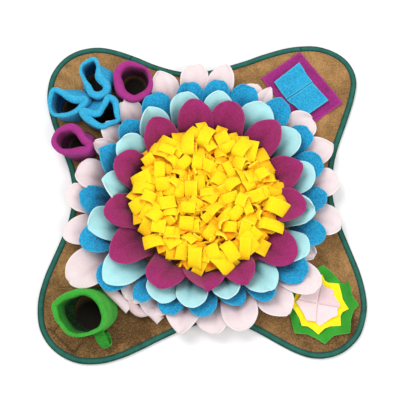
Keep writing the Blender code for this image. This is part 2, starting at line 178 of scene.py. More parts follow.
def edge_line(count):
    """Points evenly along the mat's outer edge, counterclockwise, and the outward direction at each."""
    points = []
    for lobe, (*waist, heading), next_lobe in zip(LOBES, WAISTS, LOBES[1:] + LOBES[:1]):
        x, y, radius, first, last = lobe
        points += [np.array((x, y)) + bearing(way) * radius for way in np.linspace(first, last, 41)]
        x, y, radius, first, _ = next_lobe
        arrive = np.array((x, y)) + bearing(first) * radius
        waist = np.array(waist)
        for start, start_way, end, end_way in (
                (points[-1], last + 90, waist, heading), (waist, heading, arrive, first + 90)):
            pull = SIDE_PULL * np.linalg.norm(end - start)
            leave, reach = start + bearing(start_way) * pull, end - bearing(end_way) * pull
            for t in np.linspace(0, 1, 41)[1:-1]:
                s = 1 - t
                points.append(start * s ** 3 + leave * 3 * s * s * t + reach * 3 * s * t * t + end * t ** 3)
    even, _ = evenly(np.array(points) * MM, count)
    along = np.roll(even, -1, 0) - np.roll(even, 1, 0)
    along /= np.linalg.norm(along, axis=1)[:, None]
    return even, np.stack((along[:, 1], -along[:, 0]), 1)


def bumps(points, size, seed):
    """Smooth unevenness from about -1 to 1 at each point, with humps about that size across."""
    return np.array([noise.noise(Vector((x / size + seed, y / size - seed, z / size))) * 1.6
                     for x, y, z in points])


def from_line(points, line):
    """Distance of each flat point from a line of several corners."""
    nearest = np.full(len(points), 9.0)
    line = np.array(line) * MM
    for start, along in zip(line, np.diff(line, axis=0)):
        share = np.clip(((points - start) @ along) / (along @ along), 0, 1)
        nearest = np.minimum(nearest, np.linalg.norm(points - start - share[:, None] * along, axis=1))
    return nearest


def from_spot(points, x, y):
    """Distance of each flat point from a place."""
    return np.hypot(points[:, 0] - x * MM, points[:, 1] - y * MM)


def ring_faces(count, first, second):
    """Quads between two closed rings of points, given by their first indices."""
    i = np.arange(count)
    j = (i + 1) % count
    return np.stack((first + i, first + j, second + j, second + i), 1)


def fan_faces(count, ring, centre):
    """Triangles between a closed ring of points and its centre."""
    i = np.arange(count)
    return np.stack((ring + i, ring + (i + 1) % count, np.full(count, centre)), 1)


SEWN_LINES = (((-240.5, -211.7), (-200, -250.5), (-186.5, -234.9)), ((-232.6, -217.5), (-225.6, -207.4)))
SEWN_WIDTH = 3.0 * MM
# soft folds of the loose cloth: a line and the height of its ridge
FOLDS = (
    (((-238, 225), (-215, 214), (-196, 196)), 1.6), (((-245, 200), (-214, 190)), 1.2),
    (((-222, 243), (-200, 228)), 1), (((233, -192), (238, -212), (230, -226)), -1.4),
    (((188, -98), (196, -110)), -1.2), (((165, -70), (190, -82)), 0.9),
    (((205, 150), (190, 115), (192, 85)), 1.4), (((170, -255), (130, -238)), 1),
    (((-120, -235), (-150, -262)), 1), (((-225, -120), (-205, -105)), 1.2), (((110, 232), (80, 228)), 1),
)
FOLD_WIDTH = 6.0 * MM
# x, y and radius of the places inside the pots and the mug, where little light falls
WELLS = (
    (-176, 196, 26), (-212, 153, 26), (-162, 138, 28), (-114, 192, 27), (-200, 90, 26), (-176, -192, 36),
)
# x, y, radius and strength of shadows painted on the cloth beside the mug
PAINTED_SHADOWS = ((-118, -216, 30, 0.45), (-136, -182, 16, 0.6), (-98, -207, 20, 0.3))
# shade is painted on the cloth from this y on, darker towards the front
SHADED_FROM = -0.03         # y, from where the cloth is darker towards the front
BASE_SECTORS = 420
BASE_RINGS = 72
INSETS = (1.5, 6, 10.5, 15)             # of the outermost rings of points from the edge, in millimetres
edge, outward = edge_line(BASE_SECTORS)
rings = [edge - outward * (inset * MM) for inset in INSETS]
rings += [rings[-1] * share for share in np.linspace(1.0, 0.0, BASE_RINGS, endpoint=False)[1:]]
flat_points = np.vstack(rings + [np.zeros((1, 2))])
total = len(flat_points)
from_edge = np.full(total, float(INSETS[-1]))
from_edge[:3 * BASE_SECTORS] = np.repeat(INSETS[:3], BASE_SECTORS)
lift = EDGE_RISE * np.clip((INSETS[3] - from_edge) / (INSETS[3] - INSETS[2]), 0, 1)
spots = np.column_stack((flat_points, np.zeros(total)))
wrinkles = 0.9 * bumps(spots, 0.07, 3.0) + 0.5 * bumps(spots, 0.028, 8.0)
inside = np.clip((from_edge - INSETS[1]) / (INSETS[3] - INSETS[1]), 0, 1)
grooves = sum(np.exp(-(from_line(flat_points, line) / SEWN_WIDTH) ** 2) for line in SEWN_LINES)
grooves = np.minimum(grooves, 1)
ridges = sum(ridge * np.exp(-(from_line(flat_points, line) / FOLD_WIDTH) ** 2) for line, ridge in FOLDS)
uneven = 0.45 * wrinkles - 0.9 * grooves + ridges
top = np.column_stack((flat_points, BASE_THICK + lift + inside * MM * uneven))
bottom = np.column_stack((flat_points, lift))
faces = []
for ring in range(len(rings) - 1):
    quads = ring_faces(BASE_SECTORS, ring * BASE_SECTORS, (ring + 1) * BASE_SECTORS)
    faces += quads.tolist() + (quads[:, ::-1] + total).tolist()
middle_fan = fan_faces(BASE_SECTORS, total - 1 - BASE_SECTORS, total - 1)
faces += middle_fan.tolist() + (middle_fan[:, ::-1] + total).tolist()
faces += ring_faces(BASE_SECTORS, total, 0).tolist()
# painted shade: darker in the sewn grooves and in the hollows of the wrinkles and folds, lighter on their
# humps
deep = 0.32 - 0.16 * wrinkles - 0.24 * ridges + 0.2 * grooves
# painted shade, darker towards the front, where less light falls
deep += 1.6 * np.maximum(SHADED_FROM - flat_points[:, 1], 0)
# painted shadows beside the mug
for x, y, radius, strength in PAINTED_SHADOWS:
    deep += strength * np.exp(-(from_spot(flat_points, x, y) / (radius * MM)) ** 2)
# painted shade inside the pots and the mug, laid on through the cut-edge value
painted_well_shade = np.zeros(total)
for x, y, radius in WELLS:
    painted_well_shade = np.maximum(painted_well_shade, np.clip(2.2 - 2 * from_spot(flat_points, x, y) / (radius * MM), 0, 1))
# the third colour, near black, is the painted shade inside the pots and the mug
brown = fleece("brown_fleece", (170, 129, 79), (80, 54, 25), (16, 12, 8), pebble=1.1, mottle=0.7, pile=1.3,
               sheen=0.15)
base = add_piece("base_cloth", np.vstack((top, bottom)), faces, brown, ["base"], np.tile(deep, 2),
                 np.concatenate((painted_well_shade * 1.16, 0 * painted_well_shade)))

# ---- Binding ----
# Dark green tape, folded round the raw edge of the base and sewn through all layers with a thread of its own
# colour. It puckers a little on the curves, and its ends and a join are turned under as small steps.

TAPE_SECTORS = 900
# how far out and how high the folded tape's section runs: the outside, then back along the inside
TAPE_SECTION = (
    (-9.5, 5.5), (-8.9, 5.95), (-6.0, 6.1), (-3.0, 6.1), (-1.4, 5.9), (-0.4, 5.2), (0.0, 4.2), (0.1, 3.0),
    (0.0, 1.8), (-0.4, 0.8), (-1.4, 0.1), (-3.0, 0.0), (-9.5, 0.0),
    (-9.5, 1.1), (-2.6, 1.1), (-1.6, 1.6), (-1.2, 3.0), (-1.6, 4.6), (-2.6, 4.9), (-9.3, 4.9),
)
TAPE_JOINS = ((-116.2, 253.7), (165.5, 267.4))
SEAM_INSET = 8.1 * MM
STITCHES = 560
UP = np.array((0.0, 0.0, 1.0))


def add_stitches(name, starts, ends, thread, material, deep=0.2):
    """Short raised threads from each start to each end, as one mesh of spindles."""
    points, faces = [], []
    for start, end in zip(starts, ends):
        side = np.cross(UP, (end - start) / np.linalg.norm(end - start))
        first = len(points)
        points.append(start - UP * thread * 0.4)
        for share, lift_share in ((0.2, 0.5), (0.5, 0.8), (0.8, 0.5)):
            centre = start + (end - start) * share + UP * thread * lift_share * 0.6
            for turn in range(6):
                angle = math.tau * turn / 6
                points.append(centre + (side * math.cos(angle) + UP * math.sin(angle)) * thread * 0.5)
        points.append(end - UP * thread * 0.4)
        faces += fan_faces(6, first + 1, first)[:, ::-1].tolist()
        faces += fan_faces(6, first + 13, first + 19).tolist()
        for ring in (first + 1, first + 7):
            quads = ring_faces(6, ring, ring + 6)
            faces += quads[:, [0, 1, 2]].tolist() + quads[:, [0, 2, 3]].tolist()
    blank = np.zeros(len(points))
    return add_piece(name, points, faces, material, [], blank + deep, blank)


edge, outward = edge_line(TAPE_SECTORS)
flat_edge = np.column_stack((edge, np.zeros(TAPE_SECTORS)))
pucker = bumps(flat_edge, 0.009, 5.0)
swell = bumps(flat_edge, 0.03, 2.0)
joins = np.zeros(TAPE_SECTORS)
for place in TAPE_JOINS:
    joins[np.argmin(from_spot(edge, *place))] = 1.0
points, faces, deep = [], [], []
for number, (out, high) in enumerate(TAPE_SECTION):
    swelling = 0.35 if out > -1.1 else 0.5 if high > 5 and out < -8 else 0
    puckering = 0 if high < 4.95 else 0.4 if out < -9 else 1
    level = np.maximum(high + (0.12 * pucker - 0.9 * joins) * puckering, 0) * MM
    points.append(np.column_stack((edge + outward * ((out + swelling * swell) * MM)[:, None], level)))
    after = (number + 1) % len(TAPE_SECTION)
    faces += ring_faces(TAPE_SECTORS, after * TAPE_SECTORS, number * TAPE_SECTORS).tolist()
    # painted shade: darker in the troughs of the puckers, at the turned-under joins and along both edges of
    # the folded tape
    deep.append(0.2 - 0.14 * pucker + joins + (0.6 if out > -1.5 or out < -8.5 else 0))
deep = np.concatenate(deep)
tape = fleece("green_tape", (39, 104, 89), (12, 50, 50), (78, 150, 132), pebble=0.2, mottle=0.4, pile=0.3,
              sheen=0.05)
binding = add_piece("binding_tape", np.vstack(points), faces, tape, ["binding"], deep, 0 * deep)

edge, outward = edge_line(STITCHES * 2)
seam = np.column_stack((edge - outward * SEAM_INSET, np.full(len(edge), 6.05 * MM)))
add_stitches("binding_stitches", seam[0::2], seam[1::2] + (seam[1::2] - seam[0::2]) * 0.25, 0.55 * MM, tape)

starts, ends = [], []
for line in SEWN_LINES:
    corners = np.column_stack((np.array(line) * MM, np.full(len(line), BASE_THICK + 0.1 * MM)))
    for first, last in zip(corners[:-1], corners[1:]):
        stitches = int(np.linalg.norm(last - first) / (3.2 * MM))
        for step in range(stitches):
            starts.append(first + (last - first) * (step + 0.02) / stitches)
            ends.append(first + (last - first) * (step + 0.98) / stitches)
add_stitches("base_stitches", starts, ends, 1.2 * MM, brown, 1.0)

# ---- Flower ----
# Four rings of fleece petals, cut singly and sewn down at their pinched roots, so that each starts creased
# and steep and leans outward over the ring below. Cut edges show paler than the napped face.

FLEECE = 2.5 * MM
FLOWER = (0.000, -0.007)
PETAL_TUCK = 4.0 * MM       # how far every other petal is sewn further out and lower
PETAL_SHORTEST = 42         # millimetres outward from its root to its tip
PETAL_ROWS = 22
PETAL_COLUMNS = 15


def spacing(count, length=1.0, rim=1.0 * MM, first=0.25, thick=0.88):
    """Places from 0 to length, close together over a rim at both ends, and how thick the sheet is at each,
    to round its cut edge: first is where in the rim it has grown to thick."""
    near = np.array((0, first * rim, rim))
    places = np.concatenate((near, np.linspace(rim, length - rim, count)[1:-1], (length - near)[::-1]))
    full = np.ones(len(places))
    full[[0, 1, -2, -1]] = (0.0, thick, thick, 0.0)
    return places, full


class Cloths:
    """Several closed cloth forms gathered into one mesh, with their painted values."""

    def __init__(self):
        self.points, self.faces, self.deep, self.cut_edge_and_painted_light = [], [], [], []
        self.count = 0

    def add(self, points, faces, deep, cut_edge_and_painted_light):
        for gathered, new in ((self.points, points), (self.faces, faces + self.count), (self.deep, deep),
                              (self.cut_edge_and_painted_light, cut_edge_and_painted_light)):
            gathered.append(new)
        self.count += len(points)

    def add_sheet(self, middle, full, thickness, deep, cut_edge_and_painted_light):
        """A closed sheet round a grid of middle points. full is 0 on the rim, where its faces meet, to 1."""
        rows, columns = full.shape
        normal = np.cross(np.gradient(middle, axis=0), np.gradient(middle, axis=1))
        normal = normal / np.maximum(np.linalg.norm(normal, axis=2, keepdims=True), 1e-12)
        offset = normal * (full[:, :, None] * thickness / 2)
        upper = np.arange(rows * columns).reshape(rows, columns)
        lower = upper.copy()
        lower[1:-1, 1:-1] = np.arange((rows - 2) * (columns - 2)).reshape(rows - 2, -1) + rows * columns
        faces = [np.stack(corners, -1).reshape(-1, 4) for corners in (
            (upper[:-1, :-1], upper[1:, :-1], upper[1:, 1:], upper[:-1, 1:]),
            (lower[:-1, :-1], lower[:-1, 1:], lower[1:, 1:], lower[1:, :-1]))]
        points = ((middle + offset).reshape(-1, 3), (middle - offset)[1:-1, 1:-1].reshape(-1, 3))
        self.add(np.vstack(points), np.vstack(faces),
                 *(np.concatenate((grid.ravel(), grid[1:-1, 1:-1].ravel())) for grid in (deep, cut_edge_and_painted_light)))

    def piece(self, name, material, nodes):
        return add_piece(name, np.vstack(self.points), np.vstack(self.faces).tolist(), material, nodes,
                         np.concatenate(self.deep), np.concatenate(self.cut_edge_and_painted_light))


def toward(angle):
    """Level unit vector in a direction, given in radians."""
    return np.array((math.sin(angle), math.cos(angle), 0.0))


def aside(level):
    """A level vector turned a quarter clockwise."""
    return np.array((level[1], -level[0], 0.0))


def half_width(along, root, widest, point, blunt):
    """One half of a petal's outline as a share of its greatest half width. root is its share at the root,
    widest where it is full, point from 0, a round tip, to 1, a pointed one, and blunt how far the tip is
    cut in straight snips."""
    low = root + (1 - root) * np.sin(math.pi / 2 * np.minimum(along / widest, 1))
    beyond = np.clip((along - widest) / (1 - widest), 0, 1)
    high = np.maximum(1 - beyond ** (2.6 - 0.9 * point), 0.0) ** (0.48 + 0.40 * point)
    snipped = np.interp(beyond, (0, 0.5, 0.85, 1), (1, 0.93, 0.64, 0.34))
    return np.maximum(np.where(along < widest, low, high + (snipped - high) * blunt), 0.03)


def petal(sheets, draw, root_radius, half_bend, direction, reach, height, width, crease, root_share, shade_fading,
          point, blunt, pleat, fold):
    """One petal whose length is an arc that starts steep and leans outward. It is creased at the root, curls
    at its sides and is as uneven as cloth cut by hand. Shade is painted on it, darkest at the root and in
    the crease and the troughs of the pleats, and the less the fading, the further the painted shade reaches.
    pleat is the depth of its lengthwise folds, and fold how far a side turns up."""
    outward = toward(math.radians(direction))
    sideways = aside(outward)
    turn = math.radians(half_bend + draw.uniform(-3, 3))
    run = reach - root_radius
    slope = math.atan2(height - BASE_TOP, run) + turn
    root = np.array((*FLOWER, BASE_TOP + 1.0 * MM)) + outward * root_radius
    radius = math.hypot(run, height - root[2]) / (2 * math.sin(turn))
    along, along_full = spacing(PETAL_ROWS, 1.0, 0.04, 0.30, 0.72)
    across, across_full = spacing(PETAL_COLUMNS, 1.0, 0.05, 0.30, 0.72)
    along, across = along[:, None], across[None, :] * 2 - 1
    here = slope - 2 * turn * along
    face = UP * np.cos(here) - outward * np.sin(here)
    centre = root + outward * (radius * (math.sin(slope) - np.sin(here)))
    centre += UP * (radius * (np.cos(here) - math.cos(slope)))
    halves = [half_width(along, root_share * draw.uniform(0.92, 1.04), draw.uniform(0.42, 0.62),
                         np.clip(point + draw.uniform(-0.2, 0.2), 0, 1), blunt) for _ in range(2)]
    shape = np.where(across < 0, *halves)
    skew = draw.uniform(-0.09, 0.09) * width * along ** 2
    middle = centre[:, None, :] + sideways * (shape * (width / 2) * across + skew)[:, :, None]
    rest = 1 - along
    off_centre = draw.uniform(-0.25, 0.25)
    valley = np.exp(-((across - off_centre) / 0.16) ** 2)
    ridges = np.exp(-((np.abs(across - off_centre) - 0.40) / 0.20) ** 2)
    pleats = across * 5.2 + off_centre * 8
    over = draw.uniform(0.04, 0.12) * width * shape * across ** 2 * np.minimum(1, 0.5 + along)
    over -= draw.uniform(0.5, 1.4) * crease * rest ** 1.3 * (valley - 0.6 * ridges)
    over += draw.uniform(-2.5, 2.0) * MM * along ** 3
    over += draw.uniform(-0.10, 0.10) * width * across * along ** 2
    side = draw.choice((-1, 1))
    fold = draw.uniform(-3.0, 4.5) if fold is None else fold
    over += fold * MM * np.maximum(across * side - 0.15, 0) ** 2 * (0.3 + along)
    over += pleat * MM * np.sin(pleats) * (1 - 0.45 * along)
    over += 1.2 * MM * bumps(middle.reshape(-1, 3), 0.024, direction).reshape(over.shape)
    middle += face[:, None, :] * over[:, :, None]
    middle[:, :, 2] = np.maximum(middle[:, :, 2], BASE_TOP + 0.8 * MM)
    full = np.minimum(along_full[:, None], across_full)
    # painted shade: darkest at the root, in the crease and in the troughs of the pleats
    deep = 0.95 * rest ** shade_fading + 0.45 * rest * valley - 0.08 + 0.02 * pleat * np.cos(pleats)
    sheets.add_sheet(middle, full, FLEECE, deep, 1 - full)


def rolled_fold(sheets, corners, seed):
    """A petal that is folded over along a line, seen from its rounded back."""
    corners = np.array(corners) * MM
    total = np.concatenate(([0], np.cumsum(np.linalg.norm(np.diff(corners, axis=0), axis=1))))
    places, row_full = spacing(26, 1.0, 0.03, 0.30, 0.72)
    path = np.stack([np.interp(places * total[-1], total, corners[:, k]) for k in range(3)], 1)
    for _ in range(4):
        path[1:-1] = (path[:-2] + 2 * path[1:-1] + path[2:]) / 4
    side = np.cross(np.gradient(path, axis=0), UP)
    side /= np.linalg.norm(side, axis=1)[:, None]
    across, column_full = spacing(11, 1.0, 0.05, 0.30, 0.72)
    angle = (across * 2 - 1) * 1.9
    middle = path[:, None, :] + side[:, None, :] * (7.0 * MM * np.sin(angle))[None, :, None]
    middle[:, :, 2] += 5.0 * MM * np.cos(angle)[None, :]
    middle[:, :, 2] += (0.8 * MM * bumps(middle.reshape(-1, 3), 0.02, seed)).reshape(middle.shape[:2])
    full = np.minimum(row_full[:, None], column_full)
    # painted shade, darker towards its start, which lies beneath the petals above it
    sheets.add_sheet(middle, full, FLEECE, 0.1 + 0.5 * (1 - places[:, None]) * np.ones(full.shape), 1 - full)


# petals of each ring: direction, reach and height of the tip, width
MAGENTA = (
    (355, 162, 52, 58), (18, 165, 53, 58), (45, 172, 52, 58), (73, 168, 54, 60), (96, 165, 53, 58),
    (125, 178, 50, 62), (154, 162, 52, 54), (179, 155, 54, 56), (204, 166, 52, 58), (236, 177, 50, 62),
    (260, 159, 52, 58), (293, 150, 60, 60), (325, 150, 57, 58),
)
AQUA = (
    (10, 180, 46, 50), (33, 187, 46, 60), (54, 187, 45, 56), (78, 184, 46, 54), (99, 180, 47, 50),
    (121, 191, 45, 58), (145, 188, 44, 56), (166, 172, 48, 48), (186, 184, 45, 50), (203, 184, 46, 54),
    (228, 207, 42, 62), (254, 188, 45, 60), (276, 161, 52, 56), (303, 160, 57, 56), (327, 172, 48, 56),
    (350, 179, 47, 54),
)
BLUE = (
    (7, 201, 38, 44), (21, 206, 38, 50), (40, 211, 38, 50), (57, 206, 43, 46), (73, 201, 39, 50),
    (91, 198, 40, 48), (110, 205, 38, 50), (130, 207, 37, 52), (148, 198, 38, 44), (164, 184, 40, 44),
    (180, 194, 39, 46), (196, 197, 38, 48), (211, 198, 38, 46), (228, 215, 41, 54), (248, 208, 40, 52),
    (269, 196, 39, 50), (293, 182, 51, 54), (314, 178, 51, 50), (334, 193, 40, 54), (353, 198, 39, 46),
)
PINK = (
    (8, 233, 28, 46), (24, 217, 28, 46), (31, 221, 29, 32), (52, 225, 29, 54), (66, 233, 22, 50),
    (82, 220, 28, 50), (100, 224, 27, 54), (118, 201, 27, 44), (131, 234, 28, 56), (146, 231, 28, 56),
    (162, 223, 28, 58), (176, 219, 27, 52), (190, 223, 28, 50), (205, 206, 22, 46), (215, 202, 18, 48),
    (238, 250, 26, 64), (255, 230, 27, 50), (270, 219, 28, 50), (283, 208, 30, 54), (299, 199, 36, 42),
    (307, 202, 36, 40), (321, 210, 34, 46), (342, 231, 28, 46), (356, 231, 28, 48),
)
# name, fleece, radius at the roots, half the bend, depth of the crease, width at the root as a share, fading
# of the painted shade, how pointed and how blunt the tips are at least and at most, and the petals
RINGS = (
    ("magenta", ((148, 34, 98), (78, 13, 38), (168, 60, 120), 0.9, 0.5, 1.0, 0.2),
     106, 22, 3.0, 1.10, 1.15, (0.1, 0.7), (0.0, 0.3), MAGENTA),
    ("aqua", ((166, 217, 220), (76, 158, 168), (214, 240, 241), 0.25, 0.3, 0.3, 0.15),
     132, 20, 2.0, 0.94, 1.4, (0.1, 0.8), (0.0, 0.5), AQUA),
    ("blue", ((26, 146, 192), (6, 66, 116), (70, 176, 212), 1.7, 0.4, 0.6, 0.2),
     147, 20, 1.6, 0.94, 1.4, (0.0, 0.5), (0.3, 1.0), BLUE),
    ("pink", ((223, 207, 208), (192, 152, 158), (238, 229, 230), 0.3, 0.3, 0.3, 0.12),
     163, 25, 2.4, 0.80, 1.4, (0.1, 0.8), (0.1, 0.9), PINK),
)
PINK_FOLDS = (
    ((-156, -141, 20), (-145, -155, 19), (-128, -171, 16), (-114, -185, 11)),
    ((-112, -170, 15), (-107, -183, 14), (-97, -190, 15), (-83, -186, 16), (-75, -192, 14), (-65, -202, 10)),
)
# petals that are folded or cut otherwise than the rest, by direction: width, depth of the pleats, turn of
# the side, and for some how pointed and how blunt
POINTED, SQUARE, ROUND = (1.0, 0.0), (0.0, 1.0), (0.0, 0.0)
ODD_PETALS = {
    "magenta": {179: (65, 0, -1), 154: (52, 0.8, 1), 204: (60, 0, 0, ROUND)},
    "aqua": {99: (48, 2.2, 9), 350: (54, 1.6, 0), 145: (58, 2.4, 0)},
    "blue": {
        91: (46, 2.4, 0), 130: (52, 1.5, 0, SQUARE), 57: (46, 1, 0, SQUARE), 211: (36, 0, -3, SQUARE),
        196: (44, 0, -4, SQUARE), 293: (54, 0.5, 0, POINTED), 21: (50, 0, 0, SQUARE),
        353: (48, 0, 0, SQUARE),
    },
    "pink": {
        31: (32, 0.5, 0, POINTED), 52: (54, 1.5, 4, ROUND), 66: (50, 0.8, 0, POINTED), 118: (32, 3, 5),
        190: (54, 2, 0, POINTED), 205: (56, 2, 0), 215: (52, 2, -3), 299: (34, 2, 3),
        307: (38, 0, 0, SQUARE), 321: (44, 1, 9), 342: (48, 2, 3, POINTED), 356: (48, 1, 3),
    },
}
for name, cloth, root_radius, half_bend, crease, root_share, shade_fading, points, blunts, petals in RINGS:
    draw = random.Random(name)
    sheets = Cloths()
    for number, (direction, reach, height, width) in enumerate(petals):
        tuck = PETAL_TUCK * (number % 2)
        width, pleat, fold, *form = ODD_PETALS[name].get(direction, (width, 0.0, None))
        point, blunt = form[0] if form else (draw.uniform(*points), draw.uniform(*blunts))
        root = min(root_radius * MM + tuck, (reach - PETAL_SHORTEST) * MM)
        petal(sheets, draw, root, half_bend, direction, reach * MM, height * MM - tuck, width * MM,
              crease * MM, root_share, shade_fading, point, blunt, pleat, fold)
    if name == "pink":
        for number, corners in enumerate(PINK_FOLDS):
            rolled_fold(sheets, corners, number)
    ring = sheets.piece(name + "_petal_ring", fleece(name + "_fleece", *cloth),
                        [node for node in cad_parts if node.startswith(name + "_petals_")])

# ---- Tuft ----
# Strips of yellow fleece about 20 mm wide, knotted through the base in the middle of the flower. They rise
# close together, bend over and lie on each other at all angles, with square cut ends. Some form loops.

TUFT_AT = (0.008, -0.009, 0.0)
TUFT_RADIUS = 0.115
STRIP_THICK = 3.4 * MM
STRIP_TOTAL = 185
FILLER_TOTAL = 300
GOLDEN_TURN = 2.39996       # from one strip's place to the next, which spreads them evenly
OUTER_SHARE = 0.84          # of the radius, from where the strips point outward
TRIES = 24                  # of a strip's place, of which the lowest lying is kept
CELL = 1.5 * MM             # of the grid that keeps how high the pile is
GRID = 200
# length, bend, radius of the bend, dip and droop towards the end, and how far cupped: least and most
STRIP_KINDS = {
    "outer": ((24, 33), (75, 100), (5, 8), (-2, 18), (14, 42)),
    "bent": ((15, 23), (75, 100), (4.5, 8), (-14, 24), (8, 40)),
    "loop": ((10, 15), (155, 175), (4, 6), (-12, 18), (0, 30)),
    "upright": ((8, 12), 20, 12, (-70, -45), (-10, 25)),
}
CUPS = {"outer": (-2.0, 3.0), "bent": (-4.5, 4.5), "loop": (-1.5, 1.5), "upright": (4.0, 7.0)}
draw = random.Random(41)
cells = (np.arange(GRID) - GRID / 2) * CELL
grid_radius = np.hypot(*np.meshgrid(cells, cells, indexing="ij"))
pile_top = 0.041 - 0.013 * (grid_radius / TUFT_RADIUS) ** 2.4
pile_top = np.where(grid_radius > TUFT_RADIUS, 0.028 + 0.3 * (grid_radius - TUFT_RADIUS), pile_top)


def strip_grid(draw, kind, at, heading, width):
    """Middle points of a strip from its cut end over the bend and down into the pile, at no height yet, and
    how many of its rows are seen. It droops a little towards its end, and is cupped and twisted as cloth is.
    Sizes are drawn for every kind, so that the draws that follow don't hang on the kind."""
    sizes = {name: [span if isinstance(span, int) else draw.uniform(*span) for span in spans]
             for name, spans in STRIP_KINDS.items()}
    length, bend, bend_radius, dip, droop = sizes[kind]
    length, bend_radius, dip, droop = length * MM, bend_radius * MM, math.radians(dip), math.radians(droop)
    fine = np.linspace(0, length, 60)
    angle = dip + droop * fine / length
    step = np.diff(fine)
    forward = np.concatenate(([0], np.cumsum(np.cos(angle[:-1]) * step)))
    height = np.concatenate(([0], np.cumsum(-np.sin(angle[:-1]) * step)))
    tip = np.concatenate((length - np.array((0, 0.25, 1.0)) * MM, np.linspace(length - 1.0 * MM, 0, 7)[1:]))
    lying = np.stack((np.interp(tip, fine, forward), np.interp(tip, fine, height)), 1)
    turned = np.linspace(0, math.radians(bend), 8)[1:] - dip
    centre = -bend_radius * np.array((math.sin(dip), math.cos(dip)))
    arc = centre + bend_radius * np.stack((-np.sin(turned), np.cos(turned)), 1)
    fall = -np.array((math.cos(turned[-1]), math.sin(turned[-1])))
    stem = arc[-1] + fall * (np.array((0.4, 0.97, 1.0)) * draw.uniform(20, 26) * MM)[:, None]
    profile = np.vstack((lying, arc, stem))
    profile[:, 0] -= forward[-1] / 2
    level = toward(heading)
    side = aside(level)
    roll = math.radians(draw.uniform(-16, 16) if kind == "outer" else draw.uniform(-30, 30))
    side, up = side * math.cos(roll) + UP * math.sin(roll), UP * math.cos(roll) - side * math.sin(roll)
    path = np.array((*at, 0.0)) + profile[:, :1] * level + profile[:, 1:] * up
    share = np.linspace(1, 0, len(path))
    twist = draw.uniform(-0.3, 0.3) * share ** 2
    run = np.gradient(path, axis=0)
    run /= np.linalg.norm(run, axis=1)[:, None]
    out = np.cross(run, side)
    across = side * np.cos(twist)[:, None] + out * np.sin(twist)[:, None]
    wide, wide_full = spacing(4, width)
    wide -= width / 2
    middle = path[:, None, :] + across[:, None, :] * wide[None, :, None]
    cup = draw.uniform(*CUPS[kind]) * MM * (1 - (2 * wide / width) ** 2)
    middle += out[:, None, :] * (cup[None, :] * (0.4 + 0.6 * share[:, None]))[:, :, None]
    full = np.ones(len(path))
    full[[0, 1, -2, -1]] = (0.0, 0.88, 0.88, 0.0)
    return middle, np.minimum(full[:, None], wide_full[None, :]), len(lying) + 3


def pile_cells(points):
    """Row and column of the pile's grid at each point."""
    index = np.clip(np.rint(points[:, :2] / CELL + GRID / 2).astype(int), 0, GRID - 1)
    return index[:, 0], index[:, 1]


sheets = Cloths()
strip_widths = []
laid = []
for order in draw.sample(range(STRIP_TOTAL), STRIP_TOTAL):      # neighbours aren't laid one after the other
    share = math.sqrt((order + 0.5) / STRIP_TOTAL)
    around = order * GOLDEN_TURN
    outside = share > OUTER_SHARE
    kinds, weights = (("outer", "loop"), (78, 22)) if outside else (("bent", "loop", "upright"), (66, 25, 9))
    kind = draw.choices(kinds, weights)[0]
    width = (draw.uniform(17, 25) if outside else draw.uniform(12, 22)) * MM
    best = None
    for _ in range(TRIES):
        heading = around + draw.uniform(-0.7, 0.7) if outside else draw.uniform(0, math.tau)
        at = toward(around)[:2] * TUFT_RADIUS * share
        at += np.array((draw.uniform(-4, 4), draw.uniform(-4, 4))) * MM
        middle, full, seen = strip_grid(draw, kind, at, heading, width)
        between = (middle[1:seen] + middle[:seen - 1]) / 2
        shown = np.vstack((middle[:seen].reshape(-1, 3), between.reshape(-1, 3)))
        rows, columns = pile_cells(shown)
        lift = np.max(pile_top[rows, columns] - shown[:, 2])
        gap = np.mean(lift + shown[:, 2] - pile_top[rows, columns])
        if best is None or gap < best[0]:
            best = (gap, lift, middle, full, shown, rows, columns)
    gap, lift, middle, full, shown, rows, columns = best
    lift += STRIP_THICK * 0.55 - min(0.3 * gap, 1.5 * MM)
    np.maximum.at(pile_top, (rows, columns), shown[:, 2] + lift + STRIP_THICK * 0.5)
    middle[..., 2] = np.maximum(middle[..., 2] + lift, BASE_TOP + 2 * MM)
    laid.append((middle, full))
    strip_widths.append(width)
# painted shade: a strip is darker low in the pile, and where others lie over it
for middle, full in laid:
    radial = np.minimum(np.hypot(middle[..., 0], middle[..., 1]), TUFT_RADIUS)
    surface = 0.060 - 0.014 * (radial / TUFT_RADIUS) ** 2.4
    low = np.clip((surface - 2 * MM - middle[..., 2]) / (20 * MM), 0, 1.0) ** 1.5
    rows, columns = pile_cells(middle.reshape(-1, 3))
    under = pile_top[rows, columns].reshape(full.shape) - middle[..., 2] - STRIP_THICK / 2
    deep = np.maximum(low, np.clip((under - 0.6 * MM) / (5 * MM), 0, 1))
    sheets.add_sheet(middle + np.array(TUFT_AT), full, STRIP_THICK, deep, (full < 0.9) * (1 - deep))
# strips that stand below the others and fill the pile, with shade painted darker further down
for number in range(FILLER_TOTAL):
    reach = (TUFT_RADIUS - 4 * MM) * math.sqrt((number + 0.5) / FILLER_TOTAL)
    around = number * GOLDEN_TURN + 0.5
    heading = draw.uniform(0, math.tau)
    width = draw.uniform(22, 27) * MM
    lean = toward(heading) * draw.uniform(-0.2, 0.2)
    top = toward(around) * reach + UP * (0.049 - 0.020 * (reach / TUFT_RADIUS) ** 2.4)
    rows, rows_full = spacing(4, 0.032)
    wide, wide_full = spacing(3, width)
    middle = top - (UP + lean) * rows[:, None, None]
    middle = middle + aside(toward(heading)) * (wide - width / 2)[None, :, None] + np.array(TUFT_AT)
    middle[..., 2] = np.maximum(middle[..., 2], BASE_TOP + 1 * MM)
    full = np.minimum(rows_full[:, None], wide_full[None, :])
    deep = 0.25 + rows[:, None] / 0.05 + 0 * full
    sheets.add_sheet(middle, full, STRIP_THICK, deep, 0 * full)
    strip_widths.append(width)
